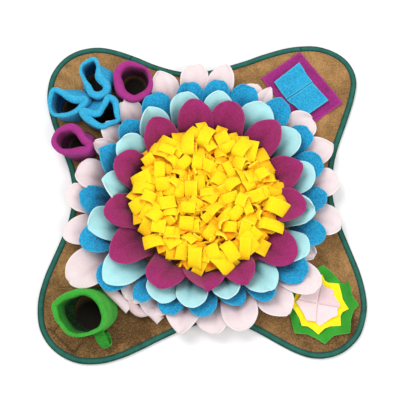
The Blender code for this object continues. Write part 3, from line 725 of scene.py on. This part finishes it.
yellow = fleece("yellow_fleece", (252, 212, 14), (246, 120, 4), (255, 224, 50), pebble=0.2, mottle=0.10,
                pile=0.12, sheen=0.05)
shader = yellow.node_tree.nodes["Principled BSDF"]
shader.inputs["Subsurface Weight"].default_value = 0.35     # light comes through the thin strips
shader.inputs["Subsurface Radius"].default_value = (1.0, 0.3, 0.03)
shader.inputs["Subsurface Scale"].default_value = 8 * MM
tuft = sheets.piece("tuft_strips", yellow, ["tuft"])
sum(strip_widths) * 0.052

# ---- Pots ----
# Small open tubes rolled from thick fleece and sewn down at the foot, three bright blue and two magenta. The
# mouths are pinched into folds, and the cut rim is turned over so that it is thicker than the wall.

TUBE_SECTORS = 160
TUBE_LEVELS = 22
BELLY_AT = 0.45             # how high up the tube, as a share, it is widest


def closed_curve(corners, count):
    """Points evenly along a smooth closed curve through the corners, counterclockwise, and its length."""
    corners = np.array(corners, dtype=float)
    points = []
    for a, b, c, d in zip(*(np.roll(corners, shift, 0) for shift in (1, 0, -1, -2))):
        for t in np.linspace(0, 1, 16, endpoint=False):
            points.append(0.5 * (2 * b + (c - a) * t + (2 * a - 5 * b + 4 * c - d) * t ** 2
                                 + (3 * b - a - 3 * c + d) * t ** 3))
    points = np.array(points)
    area = np.sum(points[:, 0] * np.roll(points[:, 1], -1) - points[:, 1] * np.roll(points[:, 0], -1))
    return evenly(points[::-1] if area < 0 else points, count)


def tube(tubes, rim, at, height, foot, belly, thick_side, wall, roll, seed, foot_shade, wall_painted_light=0.0):
    """A thick-walled tube with a rolled rim. rim is its mouth about at, and foot the x, y and radius of the
    round foot. Where it is widest the tube is as wide as if its mouth weren't pinched and stands out by
    belly beside the deepest pinch, so that its wall slopes in to every pinch. The rim is thickest towards
    the bearing thick_side. The last two arguments give how much shade is painted at the foot and how much
    light is painted on the outer wall. Shade is also painted deeper inside, and a highlight along the rim.
    Returns the mouth's length."""
    mouth, perimeter = closed_curve(rim, TUBE_SECTORS)
    mouth = (mouth + np.array(at)) * MM
    unpinched = mouth.copy()
    hull = sorted(geometry.convex_hull_2d(mouth.tolist()))
    for first, last in zip(hull, hull[1:] + [hull[0] + TUBE_SECTORS]):
        place = np.arange(first, last + 1)
        part = ((place - first) / (last - first))[:, None]
        unpinched[place % TUBE_SECTORS] = mouth[first] * (1 - part) + mouth[last % TUBE_SECTORS] * part
    pinch = np.linalg.norm(unpinched - mouth, axis=1)[:, None]
    stand_out = belly * MM * np.sqrt(pinch / max(pinch.max(), 1e-6))
    unpinched += (unpinched - mouth) / np.maximum(pinch, 1e-6) * stand_out
    for _ in range(12):
        unpinched = (np.roll(unpinched, 1, 0) + 2 * unpinched + np.roll(unpinched, -1, 0)) / 4
    foot_x, foot_y, foot_radius = np.array(foot) * MM
    centre = mouth.mean(0)
    unpinched += (np.array((foot_x, foot_y)) - centre) * 0.45
    turns = math.atan2(*(mouth[0] - centre)[::-1]) + np.arange(TUBE_SECTORS) / TUBE_SECTORS * math.tau
    ground = np.array((foot_x, foot_y)) + foot_radius * np.stack((np.cos(turns), np.sin(turns)), 1)
    share = np.linspace(0, 1, TUBE_LEVELS)
    level = ((height - 4.0) * MM - BASE_TOP) * share + BASE_TOP + 0.4 * MM
    rising = np.clip(share / BELLY_AT, 0, 1)[:, None, None]
    closing = np.clip((share - BELLY_AT) / (1 - BELLY_AT), 0, 1)[:, None, None]
    rising, closing = rising * (2 - rising), closing * closing * (3 - 2 * closing)
    middle = (ground * (1 - rising) + unpinched * rising) * (1 - closing) + mouth * closing
    line = np.column_stack((mouth, np.full(TUBE_SECTORS, height * MM)))
    wave = 2.2 * MM * bumps(line, 0.03, seed)
    middle = np.dstack((middle, level[:, None] + wave * share[:, None] ** 2))
    uneven = bumps(middle.reshape(-1, 3), 0.016, seed).reshape(middle.shape[:2]) * MM * share[:, None]
    middle += uneven[:, :, None] * np.array((1, 1, 0.3))
    upward = np.gradient(middle, axis=0)
    normal = np.cross(np.roll(middle, -1, 1) - np.roll(middle, 1, 1), upward)
    normal /= np.linalg.norm(normal, axis=2, keepdims=True)
    from_centre = mouth - centre
    facing = from_centre @ bearing(thick_side) / np.linalg.norm(from_centre, axis=1)
    uneven = 0.26 * np.clip(bumps(line, 0.026, seed + 7), -1, 1) + 0.32 * facing
    half = ((wall + (roll - wall) * share ** 1.6) / 2 * MM)[:, None, None] * (1 + uneven)[None, :, None]
    outer = middle + normal * half
    inner = middle - normal * half
    rise = upward[-1] / np.linalg.norm(upward[-1], axis=1)[:, None]
    cap = [middle[-1] + half[-1] * (normal[-1] * math.cos(a) + rise * math.sin(a) * 0.75)
           for a in np.linspace(0, math.pi, 7)[1:-1]]
    points = np.vstack((*outer, *cap, *inner[::-1]))
    faces = [ring_faces(TUBE_SECTORS, ring, (ring + TUBE_SECTORS) % len(points))
             for ring in range(0, len(points), TUBE_SECTORS)]
    # painted shade: darker towards the foot outside and further down inside, with some uneven tone
    depth = 1 - share[::-1]
    outer_deep = foot_shade * (1 - share) ** 1.3 + 0.06
    deep = np.concatenate((outer_deep, np.full(len(cap), 0.02), np.clip(0.08 + 1.2 * depth, 0, 1)))
    # painted highlight along the rim, and painted light on the outer wall, through the cut-edge value
    outer_painted_light = wall_painted_light + 0.3 * np.exp(-((1 - share) / 0.08) ** 2)
    tube_painted_light = np.concatenate((outer_painted_light, (0.34, 0.24, 0.16, 0.12, 0.10), 0.1 * np.exp(-(depth / 0.10) ** 2)))
    tubes.add(points, np.vstack(faces), np.repeat(deep, TUBE_SECTORS) + 0.10 * bumps(points, 0.02, seed + 3),
              np.repeat(tube_painted_light, TUBE_SECTORS))
    return perimeter * MM


bright_blue = fleece("bright_blue_fleece", (38, 155, 198), (8, 54, 100), (84, 196, 226), pebble=1.4,
                     mottle=0.4, pile=0.6, sheen=0.06)
purple = fleece("purple_fleece", (148, 38, 116), (52, 12, 38), (182, 66, 148), pebble=0.9, mottle=0.4,
                pile=0.6, sheen=0.06)
# each pot's rim, the rim's place, its height, foot, belly and the bearing of its thick side
BLUE_RIMS = (
    (((-20, 20), (-20, 6), (-11, -12), (-3, -28), (9, -32), (21, -24), (20, -12), (8, 2), (7, 18), (0, 32),
      (-11, 29)), (-178.0, 195.8), 45, (-174, 200, 21), 14, -40),
    (((-24, 17), (-16, 22), (2, 11), (16, 5), (32, 7), (26, -5), (14, -16), (-4, -22), (-20, -18),
      (-26, -2)), (-221.8, 151.4), 45, (-212, 155, 21), 10, 50),
    (((-34, 3), (-20, 0), (-8, 0), (2, 15), (8, 28), (18, 20), (23, 0), (24, -12), (9, -17), (-3, -22),
      (-20, -14)), (-160.5, 132.2), 45, (-164, 142, 21), 6, 150),
)
MAGENTA_RIMS = (
    (((-3, 29), (17, 23), (28, 7), (27, -12), (17, -25), (0, -31), (-16, -23), (-25, -5), (-27, 12),
      (-18, 25)), (-113.2, 190.7), 42, (-115, 194, 22), 0, 215),
    (((-4, 24), (10, 17), (18, 3), (27, -4), (25, -13), (11, -16), (-9, -17), (-24, -12), (-30, 1),
      (-24, 17)), (-209.2, 84.8), 42, (-198, 88, 23), 6, 40),
)
for name, rims, material, wall, roll, nodes in (
        ("blue_pots", BLUE_RIMS, bright_blue, 6.5, 9.5, ("blue_pot_back", "blue_pot_left", "blue_pot_front")),
        ("magenta_pots", MAGENTA_RIMS, purple, 7.0, 10.5, ("magenta_pot_back", "magenta_pot_left"))):
    tubes = Cloths()
    perimeter = sum(tube(tubes, *pot, wall, roll, 11.0 + 4 * number, 0.45) for number, pot in enumerate(rims))
    pots = tubes.piece(name, material, nodes)

# ---- Mug ----
# A toy mug of thick green felt: a rolled tube like the pots but stiffer, wide and leaning outward, and a
# strap of the same felt bent to a loop and sewn to its wall.

green = fleece("green_felt", (46, 148, 42), (8, 34, 10), (92, 190, 76), pebble=1.0, mottle=0.3, pile=1.0,
               sheen=0.03)
MUG_RIM = ((4, 33), (23, 26), (34, 13), (39, -4), (35, -21), (20, -31), (2, -34), (-16, -29), (-29, -16),
           (-36, 0), (-37, 12), (-27, 22), (-11, 29))
tubes = Cloths()
# light is painted on the outer wall, and little shade at its foot
perimeter = tube(tubes, MUG_RIM, (-189.7, -196.4), 50, (-168.5, -184, 33.5), 0, 70, wall=5.0, roll=8.2,
                 seed=31.0, foot_shade=0.02, wall_painted_light=0.45)
mug = tubes.piece("mug_wall", green, ["green_mug"])

HANDLE_FROM = (-0.172, -0.190)
HANDLE_BEARING = -66
HANDLE_START = 0.0392
HANDLE_REACH = 0.020
HANDLE_BOTTOM = 4.6 * MM
HANDLE_TOP = 34 * MM
HANDLE_WIDTH = 16 * MM
HANDLE_THICK = 3.6 * MM
turn = np.linspace(math.pi / 2 + 0.35, -math.pi / 2 - 0.25, 30)
out = bearing(HANDLE_BEARING)
side = bearing(HANDLE_BEARING + 90)
strap = np.column_stack((
    np.array(HANDLE_FROM) + out * (HANDLE_START + HANDLE_REACH * np.cos(turn))[:, None]
    + side * ((0.5 - 0.5 * np.sin(turn)) * 7 * MM - 3 * MM)[:, None],
    (HANDLE_TOP + HANDLE_BOTTOM) / 2 + (HANDLE_TOP - HANDLE_BOTTOM) / 2 * np.sin(turn)))
strap[:, 2] = np.maximum(strap[:, 2], BASE_TOP + 2.2 * MM)
wide, wide_full = spacing(7, HANDLE_WIDTH)
narrowed = 1 - 0.38 * np.maximum(np.cos(turn), 0) ** 6
from_middle = (wide - HANDLE_WIDTH / 2)[None, :, None] * narrowed[:, None, None]
row_full = np.ones(len(turn))
row_full[[0, -1]] = 0.0
full = np.minimum(row_full[:, None], wide_full)
sheets = Cloths()
sheets.add_sheet(strap[:, None, :] + np.array((*side, 0.0)) * from_middle, full, HANDLE_THICK,
                 np.full(full.shape, 0.25), 1 - full)
handle = sheets.piece("mug_handle_strap", green, ["mug_handle"])

# ---- Patch and leaves ----
# A magenta fleece patch sewn flat on the back right lobe, and on it two blue squares sewn down where they
# meet, so that their outer sides stay free and lift a little like the pages of an open book.

PATCH = ((164.0, 257.0), (232.5, 165.5), (168.0, 117.5), (97.0, 208.5))
# corners of each leaf, and how far its left side, its right side and its end rise
LEAVES = (
    (((161.4, 235.1), (182.2, 201.4), (138.2, 169.4), (119.0, 199.7)), (3.2, 0, 0.8)),
    (((182.7, 200.6), (207.9, 167.1), (170.5, 139.5), (138.9, 168.4)), (0, 3.0, 1.4)),
)
RAGGED = 0.6 * MM


def flat_sheet(sheets, corners, low, thickness, seed, rises, counts, shade):
    """A four-cornered cut piece lying on the mat, whose sides and end may rise."""
    a, b, c, d = (np.array(corner, dtype=float) * MM for corner in corners)
    size, length = np.linalg.norm(b - a), np.linalg.norm(d - a)
    columns, column_full = spacing(counts[0], size)
    rows, row_full = spacing(counts[1], length)
    columns, rows = columns[None, :] / size, rows[:, None] / length
    s, t = columns[:, :, None], rows[:, :, None]
    grid = (a * (1 - s) + b * s) * (1 - t) + (d * (1 - s) + c * s) * t
    flat = np.dstack((grid, np.zeros(grid.shape[:2]))).reshape(-1, 3)
    shift = bumps(flat, 0.016, seed).reshape(grid.shape[:2]) * RAGGED
    edge_pull = np.maximum(np.abs(columns * 2 - 1), np.abs(rows * 2 - 1)) ** 4
    soft = bumps(flat, 0.03, seed + 5).reshape(grid.shape[:2])
    rise = rises[0] * (1 - columns) ** 1.5 + rises[1] * columns ** 1.5 + rises[2] * rows ** 2
    middle = np.dstack((grid + (shift * edge_pull)[:, :, None],
                        low + thickness / 2 + (rise + 0.35 * (soft + 1)) * MM))
    from_rim = np.minimum(np.minimum(columns, 1 - columns) * size, np.minimum(rows, 1 - rows) * length)
    sheets.add_sheet(middle, np.minimum(row_full[:, None], column_full), thickness, shade + 0.12 * soft,
                     np.clip(1 - from_rim / (1.6 * MM), 0, 1))


sheets = Cloths()
flat_sheet(sheets, PATCH, BASE_TOP + 0.5 * MM, 2.4 * MM, 4.0, (0, 0, 0), (34, 28), 0.12)
patch = sheets.piece("patch_cloth", purple, ["patch"])

sheets = Cloths()
for number, (corners, rises) in enumerate(LEAVES):
    flat_sheet(sheets, corners, BASE_TOP + 3.5 * MM, 2.6 * MM, 7.0 + number, rises, (18, 24), 0.0)
leaves = sheets.piece("blue_leaves", bright_blue, ["leaf_back", "leaf_front"])

# ---- Lily ----
# Three eight-pointed leaves of fleece laid on each other, green, yellow and pale pink, cut by hand and sewn
# down with a cross of stitches through all three. The pink one is folded twice, and its creases show.

LILY_AT = (0.180, -0.175)
# each layer's outline, by direction and reach
LILY_GREEN = (
    (11, 64), (23, 59), (35, 54.5), (49, 51.5), (55, 64), (65, 60), (78, 58), (91, 65), (101, 57.5),
    (117, 58), (132, 68), (145, 59), (155, 56), (171, 64), (183, 56), (199, 51), (218, 59), (232, 51),
    (245, 46.5), (262, 50), (277, 46), (294, 50), (312, 63), (328, 52), (344, 52), (358, 58),
)
LILY_YELLOW = (
    (10, 48.5), (19, 39.5), (28, 38.5), (47, 48), (61, 43), (79, 41), (99, 50), (108, 41.5), (118, 40.5),
    (134, 50), (151, 40.5), (165, 40.5), (180, 49), (193, 41.5), (204, 39), (216, 43), (232, 36.5),
    (246, 36.5), (267, 42), (288, 37), (306, 38), (318, 44), (338, 38),
)
LILY_PINK = (
    (13, 34.5), (24, 29.4), (49, 33.5), (66, 29.5), (95, 36), (106, 32), (121, 36.5), (140, 30.8),
    (177, 36.5), (189, 29), (214, 32), (235, 27.5), (274, 34), (290, 29), (318, 32), (338, 28),
)
CREASES = (11, 101, 186, 283)           # directions of the pink layer's folds
STAR_SECTORS = 240
STAR_THICK = 2.4 * MM


def star(name, outline, low, seed, ripple, creases, material, node):
    """A star-shaped sheet round the lily's middle with rippled tips, as a piece, and its area."""
    turns = np.arange(STAR_SECTORS) * 360 / STAR_SECTORS
    ways = np.stack((np.sin(np.radians(turns)), np.cos(np.radians(turns))), 1)
    directions, reaches = np.array(outline, dtype=float).T
    directions = np.concatenate((directions[-1:] - 360, directions, directions[:1] + 360))
    spokes = np.radians(directions)
    reaches = np.concatenate((reaches[-1:], reaches, reaches[:1])) * MM
    corners = reaches[:, None] * np.stack((np.sin(spokes), np.cos(spokes)), 1)
    before = np.searchsorted(directions, turns, side="right") - 1
    start, side = corners[before], corners[before + 1] - corners[before]
    reach = (start[:, 0] * side[:, 1] - start[:, 1] * side[:, 0]) / (ways[:, 0] * side[:, 1]
                                                                     - ways[:, 1] * side[:, 0])
    shares = np.concatenate((np.linspace(0, 0.93, 16)[1:], [0.965, 0.985, 0.994, 1.0]))
    full = np.ones(len(shares))
    full[-2:] = 0.9, 0.0
    middle = np.zeros((len(shares), STAR_SECTORS, 3))
    middle[:, :, :2] = shares[:, None, None] * reach[:, None] * ways + np.array(LILY_AT)
    soft = np.clip(bumps(middle.reshape(-1, 3), 0.024, seed), -1, 1).reshape(middle.shape[:2])
    share, distance = shares[:, None], shares[:, None] * reach
    groove = np.zeros(distance.shape)
    for crease in creases:
        off = np.radians(turns - crease)
        across = np.where(np.cos(off) > 0, np.abs(distance * np.sin(off)), 1.0)
        groove = np.maximum(groove, np.exp(-(across / (0.7 * MM)) ** 2))
    half = STAR_THICK / 2
    middle[:, :, 2] = low * MM + half + ripple * MM * (soft + 0.8) * share ** 2 - 0.5 * MM * groove
    # painted shade in the creases and in the low parts of the ripples; one quarter, between the first two
    # creases, is darker
    if creases:
        middle[:, :, 2] += 1.2 * MM * share ** 0.5 * (1 - groove)
        shade = 0.15 + 0.3 * groove + 0.22 * ((turns > creases[0]) & (turns < creases[1]))
    else:
        shade = 0.15 - 0.3 * soft
    thick = np.array((0, 0, half))
    centre = np.array((*LILY_AT, low * MM + half - 0.5 * MM))
    upper = (middle + thick * full[:, None, None]).reshape(-1, 3)
    lower = (middle - thick * full[:, None, None])[:-1].reshape(-1, 3)
    points = np.vstack((upper, lower, [centre + thick, centre - thick]))
    rim = (len(shares) - 1) * STAR_SECTORS
    faces = []
    for inner in range(0, rim, STAR_SECTORS):
        outer = inner + STAR_SECTORS
        faces += ring_faces(STAR_SECTORS, inner, outer).tolist()
        below = len(upper) + outer if outer < rim else rim
        faces += ring_faces(STAR_SECTORS, below, len(upper) + inner).tolist()
    faces += fan_faces(STAR_SECTORS, 0, len(points) - 2)[:, ::-1].tolist()
    faces += fan_faces(STAR_SECTORS, len(upper), len(points) - 1).tolist()
    cut_edge_and_painted_light = np.repeat(np.where(full < 0.95, 1.0, 0.0), STAR_SECTORS)
    layer = add_piece(name, points, faces, material, [node],
                      np.concatenate((shade.ravel(), shade[:-1].ravel(), [0.3, 0.3])),
                      np.concatenate((cut_edge_and_painted_light, cut_edge_and_painted_light[:rim], [0, 0])))
    return layer, np.sum(reach ** 2) * math.pi / STAR_SECTORS


leaf_green = fleece("leaf_green_fleece", (52, 152, 42), (16, 84, 24), (96, 190, 84), pebble=0.3, mottle=0.5,
                    pile=0.4, sheen=0.15)
lily_yellow = fleece("lily_yellow_fleece", (255, 232, 26), (232, 168, 8), (255, 242, 110), pebble=0.15,
                     mottle=0.2, pile=0.2, sheen=0.1)
lily_pink = fleece("lily_pink_fleece", (236, 215, 215), (186, 142, 156), (248, 240, 241), pebble=0.2,
                   mottle=0.2, pile=0.3, sheen=0.15)
LILY_LOW = BASE_TOP / MM
for name, outline, low, seed, ripple, creases, material, node, across in (
        ("lily_leaf_layer", LILY_GREEN, 0.4, 3.0, 4.4, (), leaf_green, "lily_leaves", 0.132),
        ("lily_yellow_layer", LILY_YELLOW, 3.6, 9.0, 2.4, (), lily_yellow, "lily_yellow", 0.099),
        ("lily_pink_layer", LILY_PINK, 7.0, 15.0, 1.2, CREASES, lily_pink, "lily_pink", 0.072)):
    layer, area = star(name, outline, LILY_LOW + low, seed, ripple, creases, material, node)

starts, ends = [], []
for crease in CREASES:
    way = toward(math.radians(crease))
    for place in np.arange(2.0, 29.0, 4.2):
        starts.append(np.array((*LILY_AT, BASE_TOP + 9.3 * MM)) + way * place * MM)
        ends.append(starts[-1] + way * 2.6 * MM)
add_stitches("lily_stitches", starts, ends, 0.5 * MM, lily_pink)

# ---- Floor, light and camera ----
# White paper below, white light from all round and two soft lamps, as in a catalogue picture. The camera
# looks down from the front, and its lens is worked out from the scale of the picture.

bpy.ops.mesh.primitive_plane_add(size=14)
floor = bpy.context.object
floor.name = "floor"
paper = bpy.data.materials.new("paper")
paper.use_nodes = True
paper_shader = paper.node_tree.nodes["Principled BSDF"]
paper_shader.inputs["Base Color"].default_value = (0.88, 0.88, 0.88, 1)
paper_shader.inputs["Roughness"].default_value = 0.9
floor.data.materials.append(paper)

world = bpy.data.worlds.new("studio")
bpy.context.scene.world = world
world.use_nodes = True
world.node_tree.nodes["Background"].inputs["Color"].default_value = (1, 1, 1, 1)
world.node_tree.nodes["Background"].inputs["Strength"].default_value = 0.78

for name, place, size, power in (("key", (-1.0, 0.9, 2.2), 1.4, 34), ("fill", (1.4, -1.2, 1.8), 1.6, 24)):
    lamp = bpy.data.lights.new(name, "AREA")
    lamp.size = size
    lamp.energy = power
    lamp_object = bpy.data.objects.new(name, lamp)
    lamp_object.location = place
    lamp_object.rotation_euler = (-Vector(place)).to_track_quat("-Z", "Y").to_euler()
    bpy.context.scene.collection.objects.link(lamp_object)

PIXELS = 400
SCALE = 1.62 * MM           # metres to a pixel at the mat's middle
DISTANCE = 1.9
ELEVATION = math.radians(73)
FILM_WIDTH = 36
camera_data = bpy.data.cameras.new("camera")
camera_data.sensor_width = FILM_WIDTH
camera_data.lens = FILM_WIDTH * DISTANCE / (SCALE * PIXELS)
camera_data.shift_x = -2.5 / PIXELS
camera_data.shift_y = -0.9 / PIXELS
camera = bpy.data.objects.new("camera", camera_data)
camera.location = (0, -DISTANCE * math.cos(ELEVATION), DISTANCE * math.sin(ELEVATION))
camera.rotation_euler = (math.pi / 2 - ELEVATION, 0, 0)
bpy.context.scene.collection.objects.link(camera)
bpy.context.scene.camera = camera
bpy.context.scene.view_settings.view_transform = "Standard"
